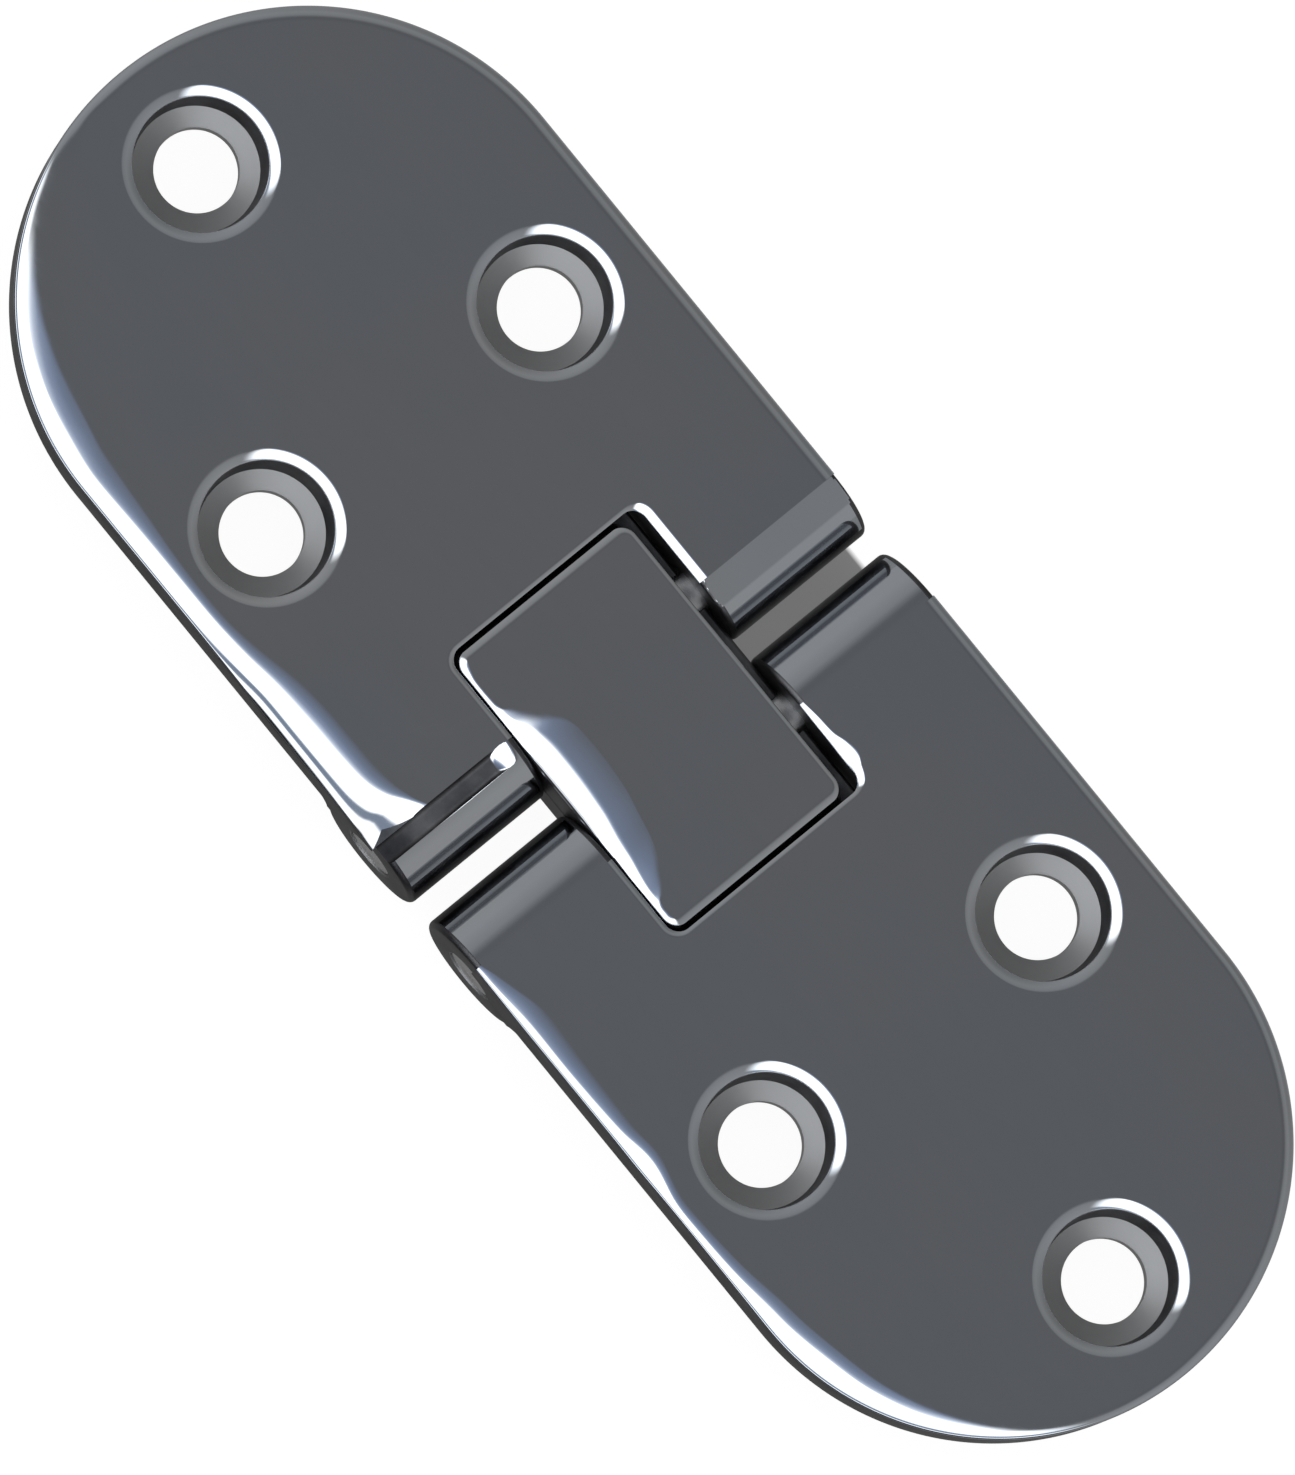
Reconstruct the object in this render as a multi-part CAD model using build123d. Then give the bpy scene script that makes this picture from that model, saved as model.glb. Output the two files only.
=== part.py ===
"""A flush folding hinge: two cast leaves, a link let into a slot across both, and two pivot pins.

Millimetres, +Z up. The hinge lies open and flat, its top face up, on the bottoms of its barrels.
X runs along its length and Y along the pins. The origin is under its middle, at the barrels' lowest line.
"""

from build123d import *
import os
from math import hypot, sqrt

# Leaves, seen from above
overall_length = 110.0
leaf_width = 39.4
end_gap = 1.7
plate_thickness = 4.0
top_edge_round = 0.9
under_edge_bevel = 0.4

# Barrels and pins
barrel_diameter = 8.6
barrel_inset = 0.1
barrel_rim_bevel = 0.4
barrel_web_round = 2.0
pin_diameter = 4.0
pin_press_clearance = 0.01
pin_running_clearance = 0.05
pin_recess = 0.1
pin_chamfer = 0.3

# Slot for the link
slot_reach = 6.6
slot_width = 16.1
slot_edge_bevel = 0.35

# Link
link_end_clearance = 0.38
link_side_clearance = 0.75
link_top_clearance = 0.02
link_eye_wall = 1.7
link_corner_round = 1.0
link_edge_round = 0.6

# Stop that keeps the leaves in line: a tongue on each end of the link, under the leaf
tongue_reach = 1.6
tongue_thickness = 1.8
tongue_clearance = 0.05
tongue_tip_clearance = 0.4
pocket_depth = 1.2

# Screw holes, three to a leaf
screw_hole_diameter = 5.7
screw_seat_diameter = 8.6
screw_sink_diameter = 9.3
screw_sink = 1.7
screw_lip_bevel = 0.5
end_hole_margin = 8.0
end_hole_to_pair = 21.2
pair_hole_spacing = 23.8

# Heights and places that follow from the sizes above
barrel_radius = barrel_diameter / 2
pin_radius = pin_diameter / 2
pin_x = (barrel_diameter + end_gap) / 2
pin_z = barrel_radius
top_z = barrel_diameter
under_z = top_z - plate_thickness
half_length = overall_length / 2
half_width = leaf_width / 2
end_hole_x = half_length - end_hole_margin
pair_hole_x = end_hole_x - end_hole_to_pair
barrel_half = half_width - barrel_inset
slot_half = slot_width / 2
slot_radius = hypot(slot_reach, barrel_radius)
link_half = slot_half - link_side_clearance
link_radius = slot_radius - link_end_clearance
link_top_z = top_z - link_top_clearance
link_eye_radius = pin_radius + pin_running_clearance + link_eye_wall
tongue_tip = slot_radius + tongue_reach
tongue_top_z = under_z + pocket_depth - tongue_clearance
pocket_end = tongue_tip + tongue_tip_clearance

# How far a cutter passes through what it cuts
through = 1.0


def along_y(radius, half, x, z):
    """A cylinder of the given half length, lying along Y."""
    return Pos(x, 0, z) * Rot(90, 0, 0) * Cylinder(radius, 2 * half)


def at_height(shape, z):
    """The edges of a shape that lie wholly at one height."""
    def level(edge):
        box = edge.bounding_box()
        return abs(box.min.Z - z) < 1e-4 and abs(box.max.Z - z) < 1e-4
    return shape.edges().filter_by(level)


def plate_blank():
    """The left leaf's plate: a half stadium that ends over the pin, with its outer edges rounded."""
    cap_x = half_width - half_length
    run = -pin_x - cap_x
    outline = Pos(cap_x, 0) * Circle(half_width) + Pos(cap_x + run / 2, 0) * Rectangle(run, leaf_width)
    blank = Pos(0, 0, under_z) * extrude(outline, plate_thickness)

    def outer(edge):
        return edge.bounding_box().min.X < -pin_x - 1e-4
    blank = fillet(at_height(blank, top_z).filter_by(outer), top_edge_round)
    return chamfer(at_height(blank, under_z).filter_by(outer), under_edge_bevel)


def slot_cutter():
    """What the slot takes out of the plate: a drum about the pin, so that the link can swing in it."""
    return along_y(slot_radius, slot_half, -pin_x, pin_z)


def pocket_cutter():
    """The shallow seat in the leaf's underside that the link's tongue stops against."""
    height = pocket_depth + through
    return Pos(-pin_x - pocket_end / 2, 0, under_z - through + height / 2) * Box(pocket_end, slot_width, height)


def lug(side):
    """One barrel of the left leaf with the web that joins it to the plate, on the given side of the slot."""
    length = barrel_half - slot_half
    middle = side * (slot_half + length / 2)
    barrel = Pos(-pin_x, middle, pin_z) * Rot(90, 0, 0) * Cylinder(barrel_radius, length)
    inner = barrel.edges().filter_by(GeomType.CIRCLE).sort_by(lambda edge: side * edge.center().Y)[0]
    barrel = chamfer(inner, slot_edge_bevel)
    outer = barrel.edges().filter_by(GeomType.CIRCLE).sort_by(lambda edge: -side * edge.center().Y)[0]
    barrel = chamfer(outer, barrel_rim_bevel)

    drop = under_z - pin_z
    web_z = drop - barrel_web_round
    web_x = sqrt((barrel_radius + barrel_web_round) ** 2 - web_z ** 2)
    corner = Polygon((0, 0), (-web_x, web_z), (-web_x, drop), (0, drop), align=None)
    corner -= Pos(-web_x, web_z) * Circle(barrel_web_round)
    face = Plane(origin=(-pin_x, middle, pin_z), x_dir=(1, 0, 0), z_dir=(0, -1, 0)) * corner
    return barrel + extrude(face, length / 2, dir=(0, 1, 0), both=True)


def screw_hole(x, y):
    """The cutter for one screw hole: bore, conical seat for a countersunk head, and the flared sink above it."""
    bore_radius = screw_hole_diameter / 2
    seat_radius = screw_seat_diameter / 2
    sink_radius = screw_sink_diameter / 2
    seat_top = top_z - screw_sink
    seat_bottom = seat_top - (seat_radius - bore_radius)
    profile = Polyline(
        (0, 0, under_z - through),
        (bore_radius, 0, under_z - through),
        (bore_radius, 0, seat_bottom),
        (seat_radius, 0, seat_top),
        (sink_radius, 0, top_z - screw_lip_bevel),
        (sink_radius + screw_lip_bevel + through, 0, top_z + through),
        (0, 0, top_z + through),
        close=True,
    )
    return Pos(x, y, 0) * revolve(make_face(profile), Axis.Z)


def left_leaf():
    """The whole left casting, bored for its pin."""
    plate = plate_blank() - slot_cutter()
    slot_edges = at_height(plate, top_z).filter_by(
        lambda edge: abs(edge.center().Y) < slot_half + 1e-3
        and -pin_x - slot_reach - 1e-3 < edge.bounding_box().min.X < -pin_x - 1e-3)
    plate = chamfer(slot_edges, slot_edge_bevel)
    plate -= pocket_cutter()
    places = [(-end_hole_x, 0), (-pair_hole_x, -pair_hole_spacing / 2), (-pair_hole_x, pair_hole_spacing / 2)]
    for x, y in places:
        plate -= screw_hole(x, y)
    leaf = plate + lug(-1) + lug(1)
    return leaf - along_y(pin_radius + pin_press_clearance, half_width + through, -pin_x, pin_z)


def right_leaf():
    """The same casting, turned round."""
    return Rot(0, 0, 180) * left_leaf()


def link():
    """The bridge between the pins: flush on top, drum-shaped at its ends, with a stop tongue on each end."""
    top_x = sqrt(link_radius ** 2 - (link_top_z - pin_z) ** 2)
    shoulder_x = sqrt(link_radius ** 2 - (tongue_top_z - pin_z) ** 2)
    tip_z = tongue_top_z - tongue_thickness
    eye_z = pin_z - link_eye_radius

    def end_lines(side):
        def at(x, z):
            return (side * (pin_x + x), z)
        bulge_x = (top_x + shoulder_x) / 2
        bulge_z = (link_top_z + tongue_top_z) / 2 - pin_z
        reach = link_radius / hypot(bulge_x, bulge_z)
        return [
            ThreePointArc(at(top_x, link_top_z), at(bulge_x * reach, pin_z + bulge_z * reach),
                          at(shoulder_x, tongue_top_z)),
            Polyline(at(shoulder_x, tongue_top_z), at(tongue_tip, tongue_top_z), at(tongue_tip, tip_z),
                     at(link_eye_radius / 2, eye_z)),
        ]

    level = [
        Line((-pin_x - top_x, link_top_z), (pin_x + top_x, link_top_z)),
        Line((-pin_x - link_eye_radius / 2, eye_z), (pin_x + link_eye_radius / 2, eye_z)),
    ]
    section = make_face(Curve() + level + end_lines(-1) + end_lines(1))
    body = extrude(Plane.XZ * section, link_half, both=True)
    uprights = body.edges().filter_by(
        lambda edge: abs(abs(edge.center().Y) - link_half) < 1e-3 and edge.geom_type == GeomType.CIRCLE)
    body = fillet(uprights, link_corner_round)
    body = fillet(at_height(body, link_top_z), link_edge_round)
    for side in (-1, 1):
        body -= along_y(pin_radius + pin_running_clearance, link_half + through, side * pin_x, pin_z)
    return body


def pin(side):
    """A pivot pin, pressed through both barrels of one leaf and flush with their ends."""
    body = along_y(pin_radius, barrel_half - pin_recess, side * pin_x, pin_z)
    return chamfer(body.edges().filter_by(GeomType.CIRCLE), pin_chamfer)


os.makedirs("parts", exist_ok=True)
pieces = {
    "leaf_a": left_leaf(),
    "leaf_b": right_leaf(),
    "link": link(),
    "pin_a": pin(-1),
    "pin_b": pin(1),
}
for name, shape in pieces.items():
    export_step(shape, f"parts/{name}.step")
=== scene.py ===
"""A flush folding hinge in polished cast steel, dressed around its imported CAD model.

Both leaves and the link are modelled again with the buffed edges that a mirror finish shows, and ride on
the CAD bodies. Sizes are in millimetres in the classes and in metres in Blender.
"""

import logging
import math
from contextlib import contextmanager
from dataclasses import dataclass, field
from enum import Enum
from typing import Callable, Iterator, Sequence

import bmesh
import bpy
from mathutils import Matrix, Vector

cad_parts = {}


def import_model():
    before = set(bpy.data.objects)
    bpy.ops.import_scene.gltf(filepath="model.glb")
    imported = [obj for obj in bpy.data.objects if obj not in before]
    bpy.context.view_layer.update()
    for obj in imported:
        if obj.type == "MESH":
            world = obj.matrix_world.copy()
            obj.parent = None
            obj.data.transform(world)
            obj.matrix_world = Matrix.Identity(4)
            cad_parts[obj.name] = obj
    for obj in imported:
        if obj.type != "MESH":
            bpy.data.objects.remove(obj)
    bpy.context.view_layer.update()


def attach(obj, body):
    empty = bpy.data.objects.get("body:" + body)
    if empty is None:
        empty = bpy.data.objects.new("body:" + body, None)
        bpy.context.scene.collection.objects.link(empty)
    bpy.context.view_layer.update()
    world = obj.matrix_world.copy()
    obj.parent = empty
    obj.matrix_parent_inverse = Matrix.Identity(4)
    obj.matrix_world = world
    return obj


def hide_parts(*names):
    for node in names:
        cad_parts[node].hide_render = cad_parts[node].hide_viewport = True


MM = 0.001
ROUNDING = 1e-7
HALF_TURN = 180
LOG = logging.getLogger("hinge")


class Part(Enum):
    """The kinds of mesh element that can be picked."""

    VERTICES = "VERT"
    EDGES = "EDGE"
    FACES = "FACE"


class Join(Enum):
    """What a second solid does to the first."""

    CUT = "DIFFERENCE"
    ADD = "UNION"


class Finish(Enum):
    """The finishes on the castings, in the order of their material slots."""

    POLISHED = 0
    SATIN = 1
    CAST = 2


def take(piece: bpy.types.Object) -> None:
    """Selects one object and no other, and makes it the active one.

    Args:
        piece: The object to take.
    """
    bpy.ops.object.select_all(action="DESELECT")
    piece.select_set(True)
    bpy.context.view_layer.objects.active = piece


@contextmanager
def editing(piece: bpy.types.Object) -> Iterator[None]:
    """Opens a piece in edit mode with nothing selected, and closes it again.

    Args:
        piece: The object to edit.
    """
    take(piece)
    bpy.ops.object.mode_set(mode="EDIT")
    bpy.ops.mesh.select_all(action="DESELECT")
    try:
        yield
    finally:
        bpy.ops.object.mode_set(mode="OBJECT")


def pick(piece: bpy.types.Object, kind: Part, test: Callable[..., bool]) -> int:
    """Selects, in edit mode, the elements that pass a test, and no others.

    Args:
        piece: The object in edit mode.
        kind: Whether vertices, edges or faces are picked.
        test: Takes one element and says whether it is picked.

    Returns:
        How many elements were picked.
    """
    bpy.ops.mesh.select_mode(type=kind.value)
    bpy.ops.mesh.select_all(action="DESELECT")
    mesh = bmesh.from_edit_mesh(piece.data)
    group = {Part.VERTICES: mesh.verts, Part.EDGES: mesh.edges, Part.FACES: mesh.faces}[kind]
    found = [item for item in group if test(item)]
    for item in found:
        item.select_set(True)
    mesh.select_flush_mode()
    bmesh.update_edit_mesh(piece.data)
    return len(found)


def new_piece(name: str) -> bpy.types.Object:
    """Names the primitive just added and puts its place and turn into its mesh.

    Args:
        name: The name that the piece gets.

    Returns:
        The piece.
    """
    piece = bpy.context.active_object
    take(piece)
    bpy.ops.object.transform_apply(location=True, rotation=True, scale=True)
    piece.name = name
    return piece


def combine(piece: bpy.types.Object, other: bpy.types.Object, how: Join) -> None:
    """Cuts a second solid out of a piece, or adds it, and removes the second one.

    Args:
        piece: The piece that stays.
        other: The solid that is used up.
        how: Whether it is cut or added.
    """
    take(piece)
    modifier = piece.modifiers.new("combine", "BOOLEAN")
    modifier.operation = how.value
    modifier.object = other
    modifier.solver = "EXACT"
    bpy.ops.object.modifier_apply(modifier=modifier.name)
    bpy.data.objects.remove(other, do_unlink=True)


def cylinder_along_y(name: str, radius: float, x: float, z: float, y_low: float, y_high: float,
                     sides: int = 192) -> bpy.types.Object:
    """Adds a round bar that lies along the pins.

    Args:
        name: The name of the bar.
        radius: Its radius in millimetres.
        x: Where its axis is along the hinge.
        z: The height of its axis.
        y_low: Where it begins across the hinge.
        y_high: Where it ends.
        sides: How many sides it has.

    Returns:
        The bar.
    """
    bpy.ops.mesh.primitive_cylinder_add(
        vertices=sides, radius=radius * MM, depth=(y_high - y_low) * MM, rotation=(math.pi / 2, 0, 0),
        location=(x * MM, (y_low + y_high) / 2 * MM, z * MM))
    return new_piece(name)


def block(name: str, low: Sequence[float], high: Sequence[float]) -> bpy.types.Object:
    """Adds a box between two corners given in millimetres.

    Args:
        name: The name of the box.
        low: Its lowest corner.
        high: Its highest corner.

    Returns:
        The box.
    """
    centre = [(a + b) / 2 * MM for a, b in zip(low, high)]
    size = [(b - a) * MM for a, b in zip(low, high)]
    bpy.ops.mesh.primitive_cube_add(size=1, location=centre, scale=size)
    return new_piece(name)


def same(first: float, second: float, within: float = ROUNDING) -> bool:
    """Says whether two lengths in metres are the same but for rounding."""
    return abs(first - second) < within


def keeps_across(edge: bmesh.types.BMEdge) -> bool:
    """Says whether an edge keeps to one place across the hinge."""
    return same(edge.verts[0].co.y, edge.verts[1].co.y)


def turn_outwards() -> None:
    """Picks all of the piece in edit mode and turns its normals outwards."""
    bpy.ops.mesh.select_all(action="SELECT")
    bpy.ops.mesh.normals_make_consistent(inside=False)


def bevel_picked(offset: float, segments: int) -> None:
    """Bevels the picked edges by an offset in millimetres."""
    bpy.ops.mesh.bevel(offset=offset * MM, segments=segments, profile=0.5, affect="EDGES")


def move_all(piece: bpy.types.Object, x: float = 0.0, y: float = 0.0) -> None:
    """Moves all of a piece's mesh.

    Args:
        piece: The piece.
        x: How far along the hinge, in millimetres.
        y: How far across it.
    """
    with editing(piece):
        bpy.ops.mesh.select_all(action="SELECT")
        bpy.ops.transform.translate(value=(x * MM, y * MM, 0))


def finish_faces(piece: bpy.types.Object, finish: Finish,
                 test: Callable[..., bool] = lambda face: True) -> None:
    """Gives the faces that pass a test one finish.

    Args:
        piece: The solid.
        finish: The finish.
        test: Takes a face and says whether it gets the finish.
    """
    for face in piece.data.polygons:
        if test(face):
            face.material_index = finish.value


def smooth_step(value: float) -> float:
    """Eases a value from 0 to 1 with a soft start and end."""
    value = min(max(value, 0.0), 1.0)
    return value * value * (3 - 2 * value)


def read_table(table: Sequence[tuple[float, float]], place: float) -> float:
    """Reads a value from a smooth curve through the places of a table.

    Args:
        table: Pairs of place and value, in rising order of place.
        place: Where the value is wanted.

    Returns:
        The value there.
    """
    place = min(max(place, table[0][0]), table[-1][0])
    index = max(i for i in range(len(table) - 1) if table[i][0] <= place)
    (start, low), (end, high) = table[index], table[index + 1]
    before, after = table[max(index - 1, 0)], table[min(index + 2, len(table) - 1)]
    leave = (high - before[1]) / (end - before[0]) * (end - start)
    arrive = (after[1] - low) / (after[0] - start) * (end - start)
    t = (place - start) / (end - start)
    return ((2 * t ** 3 - 3 * t ** 2 + 1) * low + (t ** 3 - 2 * t ** 2 + t) * leave
            + (3 * t ** 2 - 2 * t ** 3) * high + (t ** 3 - t ** 2) * arrive)


@dataclass(frozen=True)
class EdgeShape:
    """The section of a buffed edge: a roll-off that ends in a tight corner and an upright side.

    Inside the roll-off there can be a fringe, a wide and nearly level band that the wheel left.
    """

    width: float
    end_angle: float
    corner: float = 0.3
    softness: float = 1.4
    fringe: float = 0.0
    crease: float = 0.0
    fringe_angle: float = math.radians(11.5)

    ROLL_STEPS = 24
    CORNER_STEPS = 6
    FINE_STEPS = 192
    FULL_FRINGE = 0.4

    def slope(self, distance: float) -> float:
        """Gives the slope at a distance out from the flat.

        Args:
            distance: How far out, in millimetres.

        Returns:
            The slope in radians.
        """
        start = self.fringe_angle * min(self.fringe / self.FULL_FRINGE, 1.0)
        if distance < self.fringe:
            return start * (self.crease + (1 - self.crease) * distance / self.fringe)
        share = (distance - self.fringe) / self.width
        return start + (self.end_angle - start) * share ** self.softness

    def falls(self) -> list[float]:
        """Adds up how far the roll-off has fallen.

        Returns:
            The fall at each of ROLL_STEPS + 1 places, from the flat outwards.
        """
        fall, falls = 0.0, [0.0]
        per_step = self.FINE_STEPS // self.ROLL_STEPS
        length = (self.fringe + self.width) / self.FINE_STEPS
        for step in range(self.FINE_STEPS):
            fall += math.tan(self.slope((step + 0.5) * length)) * length
            if (step + 1) % per_step == 0:
                falls.append(fall)
        return falls

    def rings(self) -> list[tuple[float, float]]:
        """Gives the section from the bottom of the corner up to the flat.

        Returns:
            Pairs of how far in from the side and how far below the flat, both in millimetres.
        """
        falls = self.falls()
        corner_height = falls[-1] + self.corner * math.cos(self.end_angle)
        places = []
        for step in range(self.CORNER_STEPS):
            angle = math.pi / 2 + (self.end_angle - math.pi / 2) * step / self.CORNER_STEPS
            places.append((self.corner * (1 - math.sin(angle)),
                           corner_height - self.corner * math.cos(angle)))
        start = self.corner * (1 - math.sin(self.end_angle))
        for step in range(self.ROLL_STEPS, -1, -1):
            places.append((start + (self.fringe + self.width) * (1 - step / self.ROLL_STEPS), falls[step]))
        return places


def raise_rings(piece: bpy.types.Object, count: int, place: Callable[[Vector, int], Vector]) -> None:
    """Extrudes a chain of edges ring by ring and puts each new ring in place.

    Args:
        piece: A piece in edit mode that is only a chain of edges.
        count: How many rings there are, the first one included.
        place: Takes where a vertex was in the first chain and the ring's number, and gives its place.
    """
    bpy.ops.mesh.select_all(action="SELECT")
    mesh = bmesh.from_edit_mesh(piece.data)
    home = mesh.verts.layers.float_vector.new("home")
    for vertex in mesh.verts:
        vertex[home] = vertex.co
    bmesh.update_edit_mesh(piece.data)
    for ring in range(count):
        if ring:
            bpy.ops.mesh.extrude_edges_move()
        mesh = bmesh.from_edit_mesh(piece.data)
        home = mesh.verts.layers.float_vector["home"]
        for vertex in mesh.verts:
            if vertex.select:
                vertex.co = place(vertex[home], ring)
        bmesh.update_edit_mesh(piece.data)


def settle_normals(piece: bpy.types.Object, angle: float = 32.0) -> None:
    """Shades a finished piece smooth, with its normals weighted so that flats stay flat.

    Args:
        piece: The piece.
        angle: The angle in degrees above which an edge stays sharp.
    """
    take(piece)
    bpy.ops.object.shade_smooth_by_angle(angle=math.radians(angle))
    modifier = piece.modifiers.new("weighted", "WEIGHTED_NORMAL")
    modifier.mode = "FACE_AREA"
    modifier.weight = 100
    modifier.keep_sharp = True
    bpy.ops.object.modifier_apply(modifier=modifier.name)


@dataclass
class Wiring:
    """A shader node tree, with short ways to add and join its nodes."""

    tree: bpy.types.NodeTree

    def add(self, kind: str, inputs: dict | None = None, **settings: object) -> bpy.types.Node:
        """Adds a node.

        Args:
            kind: The node's type.
            inputs: What goes into its sockets: plain values or other nodes' outputs.
            **settings: The node's own settings.

        Returns:
            The node.
        """
        node = self.tree.nodes.new(kind)
        for name, value in settings.items():
            setattr(node, name, value)
        for name, value in (inputs or {}).items():
            self.feed(node.inputs[name], value)
        return node

    def feed(self, socket: bpy.types.NodeSocket, value: object) -> None:
        """Joins an output to a socket, or sets the socket to a plain value.

        Args:
            socket: The socket that is fed.
            value: The other node's output, or the plain value.
        """
        if isinstance(value, bpy.types.NodeSocket):
            self.tree.links.new(value, socket)
        else:
            socket.default_value = value

    def math(self, operation: str, first: object, second: object = 0.0, third: object = 0.0,
             clamp: bool = False) -> bpy.types.NodeSocket:
        """Adds a Math node and gives its output."""
        return self.add("ShaderNodeMath", {0: first, 1: second, 2: third},
                        operation=operation, use_clamp=clamp).outputs[0]

    def noise(self, place: object, scale: object, detail: float, roughness: float = 0.5,
              distortion: float = 0.0) -> bpy.types.NodeSocket:
        """Adds a Noise Texture and gives its Fac output."""
        return self.add("ShaderNodeTexNoise", {
            "Vector": place, "Scale": scale, "Detail": detail, "Roughness": roughness,
            "Distortion": distortion}).outputs["Fac"]

    def stretch(self, place: object, by: tuple[float, float, float]) -> bpy.types.NodeSocket:
        """Multiplies a vector part by part."""
        return self.add("ShaderNodeVectorMath", {0: place, 1: by}, operation="MULTIPLY").outputs["Vector"]

    def blend(self, share: object, first: object, second: object) -> bpy.types.NodeSocket:
        """Mixes two colours.

        Args:
            share: The share of the second.
            first: The first colour.
            second: The second.

        Returns:
            The mixed colour.
        """
        node = self.add("ShaderNodeMix", {"Factor": share}, data_type="RGBA")
        self.feed(node.inputs["A"], first)
        self.feed(node.inputs["B"], second)
        return node.outputs["Result"]

    def ramp(self, factor: object, stops: Sequence[tuple[float, tuple[float, float, float]]],
             ease: bool = False) -> bpy.types.NodeSocket:
        """Adds a Color Ramp.

        Args:
            factor: What the ramp is read by.
            stops: Pairs of place and colour.
            ease: Whether the ramp runs softly between its stops.

        Returns:
            The ramp's colour output.
        """
        node = self.add("ShaderNodeValToRGB", {"Fac": factor})
        node.color_ramp.interpolation = "EASE" if ease else "LINEAR"
        elements = node.color_ramp.elements
        while len(elements) < len(stops):
            elements.new(0.5)
        for element, (place, colour) in zip(elements, stops):
            element.position = place
            element.color = (*colour, 1.0)
        return node.outputs["Color"]


@dataclass(frozen=True)
class Effect:
    """A shared effect: a node group that reads a place, with plain numbers going in and coming out."""

    name: str

    def start(self, inputs: dict[str, float], outputs: Sequence[str]) -> tuple[Wiring, dict, dict]:
        """Starts the node group.

        Args:
            inputs: Each number input and its usual value.
            outputs: The names of the outputs.

        Returns:
            The group's wiring, what it is given by name, and the sockets of its results by name.
        """
        tree = bpy.data.node_groups.new(self.name, "ShaderNodeTree")
        tree.interface.new_socket("Place", in_out="INPUT", socket_type="NodeSocketVector")
        for label, value in inputs.items():
            socket = tree.interface.new_socket(label, in_out="INPUT", socket_type="NodeSocketFloat")
            socket.default_value = value
        for label in outputs:
            tree.interface.new_socket(label, in_out="OUTPUT", socket_type="NodeSocketFloat")
        wiring = Wiring(tree)
        given, result = wiring.add("NodeGroupInput"), wiring.add("NodeGroupOutput")
        return (wiring, {name: given.outputs[name] for name in ("Place", *inputs)},
                {name: result.inputs[name] for name in outputs})


@dataclass(frozen=True)
class HandPolish(Effect):
    """What a buffing wheel leaves: slow waves in the mirror, and a haze of very fine lines."""

    name: str = "hand_polish"
    line_stretch: tuple[float, float, float] = (0.12, 1.0, 1.0)
    line_height: float = 0.012
    haze_gain: float = 2.0
    haze_start: float = -0.55

    def build(self) -> bpy.types.NodeTree:
        """Builds the group.

        Returns:
            The node group, with outputs Height and Haze.
        """
        wiring, given, result = self.start({"Wave Scale": 90.0, "Line Scale": 1600.0}, ("Height", "Haze"))
        waves = wiring.noise(given["Place"], given["Wave Scale"], 2.0, 0.35)
        lines = wiring.noise(wiring.stretch(given["Place"], self.line_stretch), given["Line Scale"], 3.0, 0.6)
        fine = wiring.math("MULTIPLY", lines, self.line_height)
        wiring.feed(result["Height"], wiring.math("ADD", waves, fine))
        haze = wiring.math("MULTIPLY_ADD", lines, self.haze_gain, self.haze_start, clamp=True)
        wiring.feed(result["Haze"], haze)
        return wiring.tree


@dataclass(frozen=True)
class FineScratches(Effect):
    """Sparse hairline scratches: thin contour lines of a slow noise, broken up by another."""

    name: str = "fine_scratches"
    patch_scale: float = 160.0

    def build(self) -> bpy.types.NodeTree:
        """Builds the group.

        Returns:
            The node group, with output Mask.
        """
        wiring, given, result = self.start({"Scale": 70.0, "Width": 0.004, "Rarity": 0.62}, ("Mask",))
        slow = wiring.noise(given["Place"], given["Scale"], 1.0, 0.4, 0.6)
        distance = wiring.math("ABSOLUTE", wiring.math("SUBTRACT", slow, 0.5))
        line = wiring.math("LESS_THAN", distance, given["Width"])
        patches = wiring.noise(given["Place"], self.patch_scale, 1.0)
        shown = wiring.math("GREATER_THAN", patches, given["Rarity"])
        wiring.feed(result["Mask"], wiring.math("MULTIPLY", line, shown))
        return wiring.tree


@dataclass(frozen=True)
class CastGrain(Effect):
    """The skin of an investment casting that was only tumbled: fine pits and a mottled tone."""

    name: str = "cast_grain"
    mottle_height: float = 1.4

    def build(self) -> bpy.types.NodeTree:
        """Builds the group.

        Returns:
            The node group, with outputs Height and Tone.
        """
        wiring, given, result = self.start({"Grain Scale": 2600.0, "Mottle Scale": 300.0}, ("Height", "Tone"))
        grain = wiring.noise(given["Place"], given["Grain Scale"], 4.0, 0.65)
        mottle = wiring.noise(given["Place"], given["Mottle Scale"], 3.0, 0.55)
        wiring.feed(result["Height"], wiring.math("MULTIPLY_ADD", mottle, self.mottle_height, grain))
        wiring.feed(result["Tone"], mottle)
        return wiring.tree


@dataclass(frozen=True)
class TurningMarks(Effect):
    """Fine rings that a countersink cutter leaves round the nearest of the hole centres."""

    name: str = "turning_marks"
    centres: tuple[tuple[float, float], ...] = ()
    ring_height: float = 0.35
    tear_scale: float = 2200.0

    def build(self) -> bpy.types.NodeTree:
        """Builds the group.

        Returns:
            The node group, with output Height.
        """
        wiring, given, result = self.start({"Rings": 26000.0}, ("Height",))
        flat = wiring.stretch(given["Place"], (1.0, 1.0, 0.0))
        nearest: object = 1.0
        for x, y in self.centres:
            centre = (x * MM, y * MM, 0.0)
            away = wiring.add("ShaderNodeVectorMath", {0: flat, 1: centre}, operation="DISTANCE")
            nearest = wiring.math("MINIMUM", nearest, away.outputs["Value"])
        rings = wiring.math("SINE", wiring.math("MULTIPLY", nearest, given["Rings"]))
        tears = wiring.noise(given["Place"], self.tear_scale, 3.0)
        wiring.feed(result["Height"], wiring.math("MULTIPLY_ADD", rings, self.ring_height, tears))
        return wiring.tree


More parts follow.
